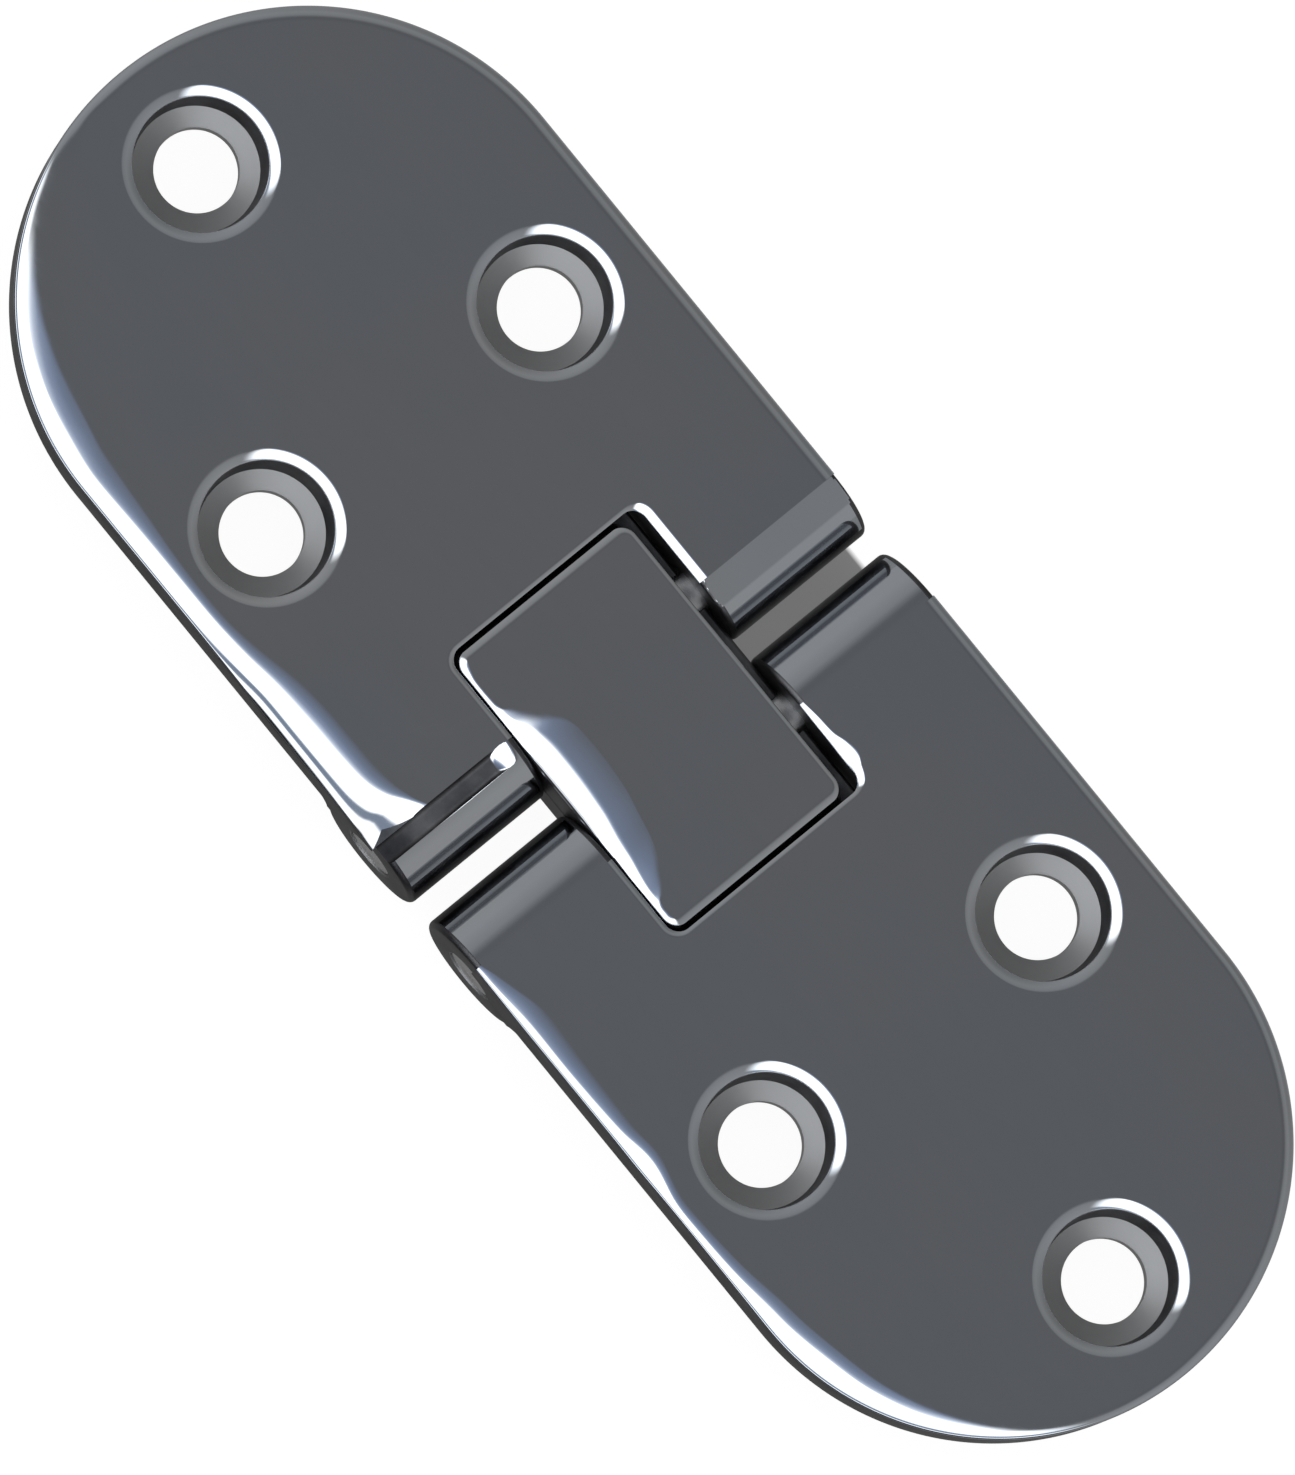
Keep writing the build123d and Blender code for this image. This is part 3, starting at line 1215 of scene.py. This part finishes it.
@dataclass
class Link:
    """The bridge that lies in the slot: flush on top, round at its ends, with a stop tongue at each end."""

    sizes: HingeSizes
    finishes: Finishes
    top: float = 8.58
    half: float = 7.375
    slide: float = -0.55
    radius: float = 7.497
    corner: float = 1.0
    shoulder: float = 5.75
    tongue_tip: float = 9.477
    tongue_low: float = 3.95
    eye_radius: float = 3.75
    # core_half is wider than half, so that the core's dark top fills the gaps beside the link: a dark part
    # standing in for shade
    core_half: float = 7.9
    near_widths: Sequence[tuple[float, float]] = (
        (-11.3, 0.55), (-10.5, 0.55), (-9.5, 0.3), (-7.5, 0.35), (-6.0, 0.6), (-4.2, 1.45), (-2.0, 1.55),
        (2.0, 1.35), (5.5, 1.0), (8.0, 0.5), (11.3, 0.4))
    near_fringes: Sequence[tuple[float, float]] = (
        (-11.3, 0.0), (-7.6, 0.0), (-6.0, 1.0), (-4.5, 1.7), (-3.0, 1.9), (1.0, 2.0), (5.0, 1.9), (7.0, 1.6),
        (8.5, 0.9), (9.8, 0.0), (11.3, 0.0))
    near_corners: Sequence[tuple[float, float]] = (
        (-11.3, 0.12), (-4.5, 0.15), (-2.5, 0.5), (2.0, 0.5), (4.5, 0.15), (11.3, 0.12))
    plain_corner: float = 0.12
    plain_width: float = 0.5
    far_narrowing: float = 0.15
    plain_angle: float = 40.0
    near_flattening: float = 18.0
    far_flattening: float = 10.0
    plain_softness: float = 1.2
    near_softening: float = 0.6
    crease: float = 0.6
    fringe_angle: float = math.radians(8.5)
    wall_levels: tuple[float, ...] = (5.2, 6.2, 7.0, 7.5)

    def drum_x(self, height: float) -> float:
        """Gives how far the link reaches along the hinge at a height, in millimetres."""
        return self.sizes.pin_x + math.sqrt(self.radius ** 2 - (height - self.sizes.pin_z) ** 2)

    def edge_at(self, spot: Vector, outwards: Vector) -> EdgeShape:
        """Gives the shape of the buffed edge at a place on the link's outline.

        Args:
            spot: The place, in millimetres.
            outwards: The direction out of the outline there.

        Returns:
            The edge's section.
        """
        near, far = smooth_step(-outwards.y), smooth_step(outwards.y)
        width = self.plain_width - self.far_narrowing * far
        width += (read_table(self.near_widths, spot.x) - width) * near
        angle = self.plain_angle - self.near_flattening * near - self.far_flattening * far
        return EdgeShape(width=max(width, 0.1), end_angle=math.radians(angle),
                         corner=(self.plain_corner
                                 + (read_table(self.near_corners, spot.x) - self.plain_corner) * near),
                         softness=self.plain_softness - self.near_softening * near,
                         fringe=max(read_table(self.near_fringes, spot.x), 0) * near,
                         crease=self.crease, fringe_angle=self.fringe_angle)

    def slab(self) -> bpy.types.Object:
        """Builds the upper part, from its buffed top down into the slot.

        Returns:
            The slab.
        """
        top_x = self.drum_x(self.top)
        bpy.ops.mesh.primitive_plane_add(size=1, location=(0, 0, 0))
        piece = new_piece("link_slab")
        with editing(piece):
            bpy.ops.mesh.select_all(action="SELECT")
            bpy.ops.transform.resize(value=(2 * top_x * MM, 2 * self.half * MM, 1), center_override=(0, 0, 0))
            bpy.ops.mesh.bevel(offset=self.corner * MM, segments=12, affect="VERTICES")
            bpy.ops.mesh.delete(type="ONLY_FACE")
            pick(piece, Part.EDGES, lambda edge: edge.calc_length() > 3 * MM and keeps_across(edge))
            bpy.ops.mesh.subdivide(number_cuts=95)
            pick(piece, Part.EDGES, lambda edge: edge.calc_length() > 3 * MM)
            bpy.ops.mesh.subdivide(number_cuts=39)
        corner_x, corner_y = top_x - self.corner, self.half - self.corner
        levels = self.wall_levels
        shapes: dict[tuple[float, float], list[tuple[float, float]]] = {}

        def place(home: Vector, ring: int) -> Vector:
            """Gives the place of an outline point in a ring of the link's wall and edge.

            Args:
                home: Where the point is in the outline, in metres.
                ring: The number of the ring, from below.

            Returns:
                Its place, in metres.
            """
            spot = Vector((home.x / MM, home.y / MM, 0))
            outwards = Vector((max(abs(spot.x) - corner_x, 0) * math.copysign(1, spot.x),
                               max(abs(spot.y) - corner_y, 0) * math.copysign(1, spot.y), 0)).normalized()
            key = (round(spot.x, 4), round(spot.y, 4))
            if key not in shapes:
                rise = [(inset, self.top - fall) for inset, fall in self.edge_at(spot, outwards).rings()]
                low = rise[0][1]
                walls = [(0.0, min(level, low - 0.02 * (4 - index))) for index, level in enumerate(levels)]
                shapes[key] = walls + rise
            inset, height = shapes[key][ring]
            bulge = self.drum_x(height) - top_x
            spot = spot - outwards * inset + Vector((outwards.x * bulge, 0, 0))
            return Vector((spot.x * MM, spot.y * MM, height * MM))

        rings = len(levels) + EdgeShape.CORNER_STEPS + EdgeShape.ROLL_STEPS + 1
        with editing(piece):
            raise_rings(piece, rings, place)
            for level in (levels[0], self.top):
                pick(piece, Part.VERTICES, lambda vertex: same(vertex.co.z, level * MM, ROUNDING / 10))
                bpy.ops.mesh.edge_face_add()
            turn_outwards()
        self.finishes.coat(piece, Finish.CAST)
        finish_faces(piece, Finish.POLISHED, lambda face: face.normal.z > 0.4)
        return piece

    def core(self) -> bpy.types.Object:
        """Builds the lower part: the eyes round the pins and the stop tongues. It is wider than the slab, so
        that its dark cast top fills the gaps beside the link, a dark part that stands in for the shade there.

        Returns:
            The core.
        """
        sizes = self.sizes
        tip = sizes.pin_x + self.tongue_tip
        eye_x, eye_z = sizes.pin_x + self.eye_radius / 2, sizes.pin_z - self.eye_radius
        low, high = -self.core_half - self.slide, self.core_half - self.slide
        piece = block("link_core", (-tip, low, self.tongue_low), (tip, high, self.shoulder))
        with editing(piece):
            pick(piece, Part.FACES, lambda face: face.normal.z < -0.9)
            bpy.ops.mesh.extrude_region_move(
                TRANSFORM_OT_translate={"value": (0, 0, (eye_z - self.tongue_low) * MM)})
            bpy.ops.transform.resize(value=(eye_x / tip, 1, 1), center_override=(0, 0, eye_z * MM))
            pick(piece, Part.EDGES, keeps_across)
            bevel_picked(0.25, 3)
        return self.finishes.coat(piece, Finish.CAST)

    def build(self) -> bpy.types.Object:
        """Builds, dresses and mounts the link.

        Returns:
            The link.
        """
        sizes = self.sizes
        piece = self.slab()
        piece.name = "hinge_link"
        combine(piece, self.core(), Join.ADD)
        for side in (-1, 1):
            bore = cylinder_along_y("bore", sizes.pin_radius + 0.05, side * sizes.pin_x, sizes.pin_z,
                                    -self.core_half - 2, self.core_half + 2, 96)
            combine(piece, self.finishes.coat(bore, Finish.SATIN), Join.CUT)
        move_all(piece, y=self.slide)
        settle_normals(piece)
        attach(piece, "link_body")
        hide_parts("link")
        return piece


@dataclass
class PivotPin:
    """A pressed-in pivot pin, modelled once and copied for the second barrel."""

    sizes: HingeSizes
    finishes: Finishes
    recess: float = 0.1
    bevel: float = 0.3

    def build(self) -> list[bpy.types.Object]:
        """Builds, dresses and mounts both pins.

        Returns:
            The two pins.
        """
        sizes = self.sizes
        half = sizes.barrel_half - self.recess
        first = cylinder_along_y("pivot_pin_left", sizes.pin_radius, -sizes.pin_x, sizes.pin_z, -half, half,
                                 96)
        with editing(first):
            pick(first, Part.EDGES, keeps_across)
            bevel_picked(self.bevel, 4)
            pick(first, Part.FACES, lambda face: abs(face.normal.y) > 0.99 and len(face.verts) > 8)
            bpy.ops.mesh.inset(thickness=0.5 * MM, depth=0, use_individual=True)
            bpy.ops.mesh.inset(thickness=0.35 * MM, depth=-0.05 * MM, use_individual=True)
        first.data.materials.append(self.finishes.ground)
        settle_normals(first)
        take(first)
        bpy.ops.object.duplicate(linked=False)
        second = bpy.context.active_object
        second.name = "pivot_pin_right"
        move_all(second, x=2 * sizes.pin_x)
        for piece, body, node in ((first, "leaf_a_body", "pin_a"), (second, "leaf_b_body", "pin_b")):
            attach(piece, body)
            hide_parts(node)
        return [first, second]


@dataclass(frozen=True)
class Studio:
    """The room: a pale table, a soft window on the near side, a dark room behind it, and the camera."""

    tilt: float = 10.0
    roll: float = 50.75
    distance: float = 1.0
    frame_height: float = 0.0964
    aim_right: float = -0.000568
    aim_up: float = -0.0011
    object_top: float = 0.0086
    plain_light: tuple[float, float, float] = (0.8, 0.8, 0.8)
    table_tone: tuple[float, float, float] = (0.10, 0.10, 0.10)
    table_seen: float = 0.95
    # gap_shade and the shade_ places set a painted shade on the table under the gap; the mirrored_ values set
    # the table's painted glow in reflections
    gap_shade: float = 0.80
    near_from: float = 0.14
    near_full: float = 0.42
    shade_half: tuple[float, float] = (0.009, 0.006)
    shade_near: tuple[float, float] = (0.0080, 0.0085)
    shade_far: tuple[float, float] = (0.0190, 0.0186)
    mirrored_from: tuple[float, float] = (-0.034, -0.019)
    mirrored_light: tuple[float, float] = (0.02, 0.22)

    def camera(self) -> None:
        """Places the camera where the photographer stood."""
        tilt, roll = math.radians(self.tilt), math.radians(self.roll)
        back = Vector((0, -math.sin(tilt), math.cos(tilt)))
        up_table = Vector((0, math.cos(tilt), math.sin(tilt)))
        along = Vector((1, 0, 0))
        right = math.cos(roll) * along + math.sin(roll) * up_table
        up = -math.sin(roll) * along + math.cos(roll) * up_table
        aim = Vector((0, 0, self.object_top)) + right * self.aim_right + up * self.aim_up
        data = bpy.data.cameras.new("camera")
        data.sensor_width = 36.0
        data.lens = data.sensor_width * self.distance / self.frame_height
        data.clip_start, data.clip_end = 0.01, 20.0
        camera = bpy.data.objects.new("camera", data)
        bpy.context.scene.collection.objects.link(camera)
        turn = Matrix((right, up, back)).transposed().to_4x4()
        camera.matrix_world = Matrix.Translation(aim + back * self.distance) @ turn
        bpy.context.scene.camera = camera

    def room(self) -> None:
        """Fills the world with the room that the mirror finish shows.

        Going down from overhead, the near side has the dark ceiling, the window, its sill with a second
        strip of light, and the dark below. The far side and the ends are plain grey walls.
        """
        world = bpy.data.worlds.new("room")
        bpy.context.scene.world = world
        world.use_nodes = True
        wiring = Wiring(world.node_tree)
        shader = world.node_tree.nodes["Background"]
        ray = wiring.add("ShaderNodeTexCoord").outputs["Generated"]
        way = wiring.add("ShaderNodeSeparateXYZ", {"Vector": ray})
        from_top = wiring.math("DIVIDE", wiring.math("ARCCOSINE", way.outputs["Z"]), math.pi)
        flat = wiring.math("SQRT", wiring.math("SUBTRACT", 1.0, wiring.math(
            "MULTIPLY", way.outputs["Z"], way.outputs["Z"]), clamp=True))
        nearness = wiring.math("DIVIDE", wiring.math("MULTIPLY", way.outputs["Y"], -1.0),
                               wiring.math("MAXIMUM", flat, 0.001))
        near_share = wiring.add("ShaderNodeMapRange", {"Value": nearness, "From Min": self.near_from,
                                                       "From Max": self.near_full},
                                interpolation_type="SMOOTHSTEP").outputs["Result"]

        def stops(*pairs: tuple[float, tuple[float, float, float]]) -> list:
            """Turns angles down from overhead, in degrees, into places on a ramp."""
            return [(angle / HALF_TURN, colour) for angle, colour in pairs]

        near = wiring.ramp(from_top, stops(
            (0, (0.160, 0.166, 0.180)), (3, (0.20, 0.225, 0.28)), (8, (0.25, 0.30, 0.41)),
            (12, (0.38, 0.45, 0.60)), (15, (0.85, 0.93, 1.1)), (18, (2.2, 2.25, 2.3)),
            (49, (2.2, 2.25, 2.3)), (52, (0.30, 0.36, 0.46)), (59, (0.31, 0.37, 0.47)),
            (61, (2.0, 2.05, 2.1)), (70, (1.9, 1.95, 2.0)), (73, (0.02, 0.02, 0.022)),
            (180, (0.01, 0.01, 0.011))))
        far = wiring.ramp(from_top, stops(
            (0, (0.157, 0.160, 0.166)), (11, (0.157, 0.160, 0.167)), (16, (0.135, 0.138, 0.145)),
            (22, (0.140, 0.143, 0.150)), (32, (0.255, 0.258, 0.262)), (50, (0.29, 0.292, 0.29)),
            (64, (0.21, 0.212, 0.21)), (90, (0.20, 0.20, 0.20)), (180, (0.15, 0.15, 0.15))))
        ends = wiring.ramp(from_top, stops(
            (0, (0.157, 0.160, 0.166)), (20, (0.155, 0.158, 0.165)), (34, (0.31, 0.315, 0.32)),
            (60, (0.38, 0.385, 0.39)), (90, (0.38, 0.38, 0.38)), (180, (0.2, 0.2, 0.2))))
        sideways = wiring.math("SUBTRACT", 1.0, wiring.math("MULTIPLY", nearness, nearness), clamp=True)
        mixed = wiring.blend(near_share, wiring.blend(sideways, far, ends), near)
        rays = wiring.add("ShaderNodeLightPath")
        seen = wiring.math("MAXIMUM", rays.outputs["Is Camera Ray"], wiring.math(
            "MAXIMUM", rays.outputs["Is Glossy Ray"], rays.outputs["Is Transmission Ray"]))
        wiring.feed(shader.inputs["Color"], wiring.blend(seen, (*self.plain_light, 1.0), mixed))
        shader.inputs["Strength"].default_value = 1.0

    def table(self) -> None:
        """Lays the pale table that the hinge lies on, which keeps only a soft shadow. Under the far half of
        the gap between the barrels it has a painted shade, and in reflections it has a painted glow that is
        dimmer on the near side.
        """
        bpy.ops.mesh.primitive_plane_add(size=8, location=(0, 0, 0))
        table = new_piece("table")
        material = bpy.data.materials.new("pale_table")
        material.use_nodes = True
        wiring = Wiring(material.node_tree)
        shader = material.node_tree.nodes["Principled BSDF"]
        shader.inputs["Roughness"].default_value = 0.9
        shader.inputs["Specular IOR Level"].default_value = 0.0
        shader.inputs["Base Color"].default_value = (*self.table_tone, 1.0)
        shader.inputs["Emission Color"].default_value = (1, 1, 1, 1)
        rays = wiring.add("ShaderNodeLightPath")
        place = wiring.add("ShaderNodeTexCoord").outputs["Object"]
        spot = wiring.add("ShaderNodeSeparateXYZ", {"Vector": place})

        def between(value: bpy.types.NodeSocket, start: float, end: float, low: float = 0.0,
                    high: float = 1.0) -> bpy.types.NodeSocket:
            """Runs from low to high as a value runs from start to end."""
            node = wiring.add("ShaderNodeMapRange", {"Value": value, "From Min": start, "From Max": end,
                                                     "To Min": low, "To Max": high})
            return node.outputs["Result"]

        across = spot.outputs["Y"]
        reflected = wiring.math("MAXIMUM", rays.outputs["Is Glossy Ray"], rays.outputs["Is Transmission Ray"])
        # Painted shade: where the camera sees the table under the far half of the gap between the barrels,
        # its glow is lowered by gap_shade
        under_gap = between(wiring.math("ABSOLUTE", spot.outputs["X"]), *self.shade_half)
        shade = wiring.math("MULTIPLY", under_gap, wiring.math(
            "MULTIPLY", between(across, *self.shade_near), between(across, *self.shade_far)))
        plain = wiring.math("MULTIPLY_ADD", shade, -self.gap_shade, self.table_seen)
        # Painted reflection: in glossy and transmission rays the table glows by mirrored_light, dimmer on the
        # near side past mirrored_from, so that the metal shows a dark floor there
        seen = wiring.math("MULTIPLY_ADD", rays.outputs["Is Camera Ray"], plain, wiring.math(
            "MULTIPLY", reflected, between(across, *self.mirrored_from, *self.mirrored_light)))
        wiring.feed(shader.inputs["Emission Strength"], seen)
        table.data.materials.append(material)

    def build(self) -> None:
        """Sets up the camera, the room and the table."""
        bpy.context.scene.view_settings.view_transform = "Standard"
        self.camera()
        self.room()
        self.table()


def main() -> None:
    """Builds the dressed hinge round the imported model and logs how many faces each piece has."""
    logging.basicConfig(level=logging.INFO, format="%(message)s")
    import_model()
    sizes = HingeSizes()
    Studio().build()
    every_hole = sizes.holes + tuple((-x, -y) for x, y in sizes.holes)
    finishes = Finishes(every_hole)
    left = Leaf(
        name="leaf_left", node="leaf_a", body="leaf_a_body", sizes=sizes, finishes=finishes, turned=False,
        crown_slope=15.0, grooved=True,
        edge_widths=((0, 4.2), (1, 3.6), (2, 2.85), (3.5, 2.35), (6, 2.2), (9, 2.15), (12, 1.9), (15, 1.45),
                     (18, 1.2), (22, 1.15), (26, 1.1), (30, 1.0), (34, 1.1), (38.4, 0.85), (42.5, 0.6),
                     (46.7, 0.4), (50.8, 0.3), (54, 0.25), (60, 0.9), (125, 0.95)),
        edge_fringes=((0, 0.4), (1, 0.5), (2, 1.2), (3.5, 1.6), (10, 1.7), (14, 1.3), (18, 0.9), (22, 1.0),
                      (26, 1.6), (30, 2.3), (34, 2.7), (42, 2.6), (46.7, 2.4), (50.8, 2.0), (54, 1.2),
                      (58, 0), (125, 0)),
        edge_angles=((0, 36), (2, 37), (5, 40), (9, 41.5), (12, 41), (14, 37), (17, 32), (22, 30), (50, 30),
                     (56, 36), (62, 42), (125, 42)),
        edge_softness=((0, 0.7), (2, 0.8), (5, 1.15), (9, 1.3), (12, 1.15), (16, 0.9), (22, 0.8), (50, 0.7),
                       (60, 1.4), (125, 1.4)),
        lit_lip=((-12, 0.62), (-5, 0.62)))
    right = Leaf(
        name="leaf_right", node="leaf_b", body="leaf_b_body", sizes=sizes, finishes=finishes, turned=True,
        crown_slope=0.0, grooved=False,
        edge_widths=((0, 0.8), (58, 0.8), (63, 0.6), (67.3, 0.3), (71.4, 0.35), (75.5, 0.5), (79.7, 0.75),
                     (83.8, 1.0), (87.9, 1.2), (92.3, 0.9), (96, 0.5), (100, 0.35), (102.3, 0.4),
                     (105.3, 0.95), (108, 0.6), (113, 0.4), (117.3, 0.4), (120, 0.2), (122.5, 0.1)),
        edge_fringes=((0, 0), (62, 0), (67.3, 0.4), (71.4, 0.8), (75.5, 1.1), (79.7, 1.3), (87.9, 1.5),
                      (92.3, 1.5), (97, 1.1), (102.3, 0.8), (106, 1.0), (110, 1.5), (115.3, 2.0), (118, 2.0),
                      (121, 1.0), (122.5, 0.2)),
        edge_angles=((0, 42), (60, 42), (67, 32), (72, 30), (122.5, 30)),
        edge_softness=((0, 1.4), (60, 1.4), (70, 0.7), (122.5, 0.7)),
        lit_lip=((-12, 0.5), (-11, 0.55), (-10, 1.0), (-9, 0.9), (-8, 0.58), (-6.5, 0.45), (-5, 0.25)))
    pieces = [left.build(), right.build(), Link(sizes, finishes).build(), *PivotPin(sizes, finishes).build()]
    for piece in pieces:
        LOG.info("%s: %d faces", piece.name, len(piece.data.polygons))


if __name__ == "__main__":
    main()
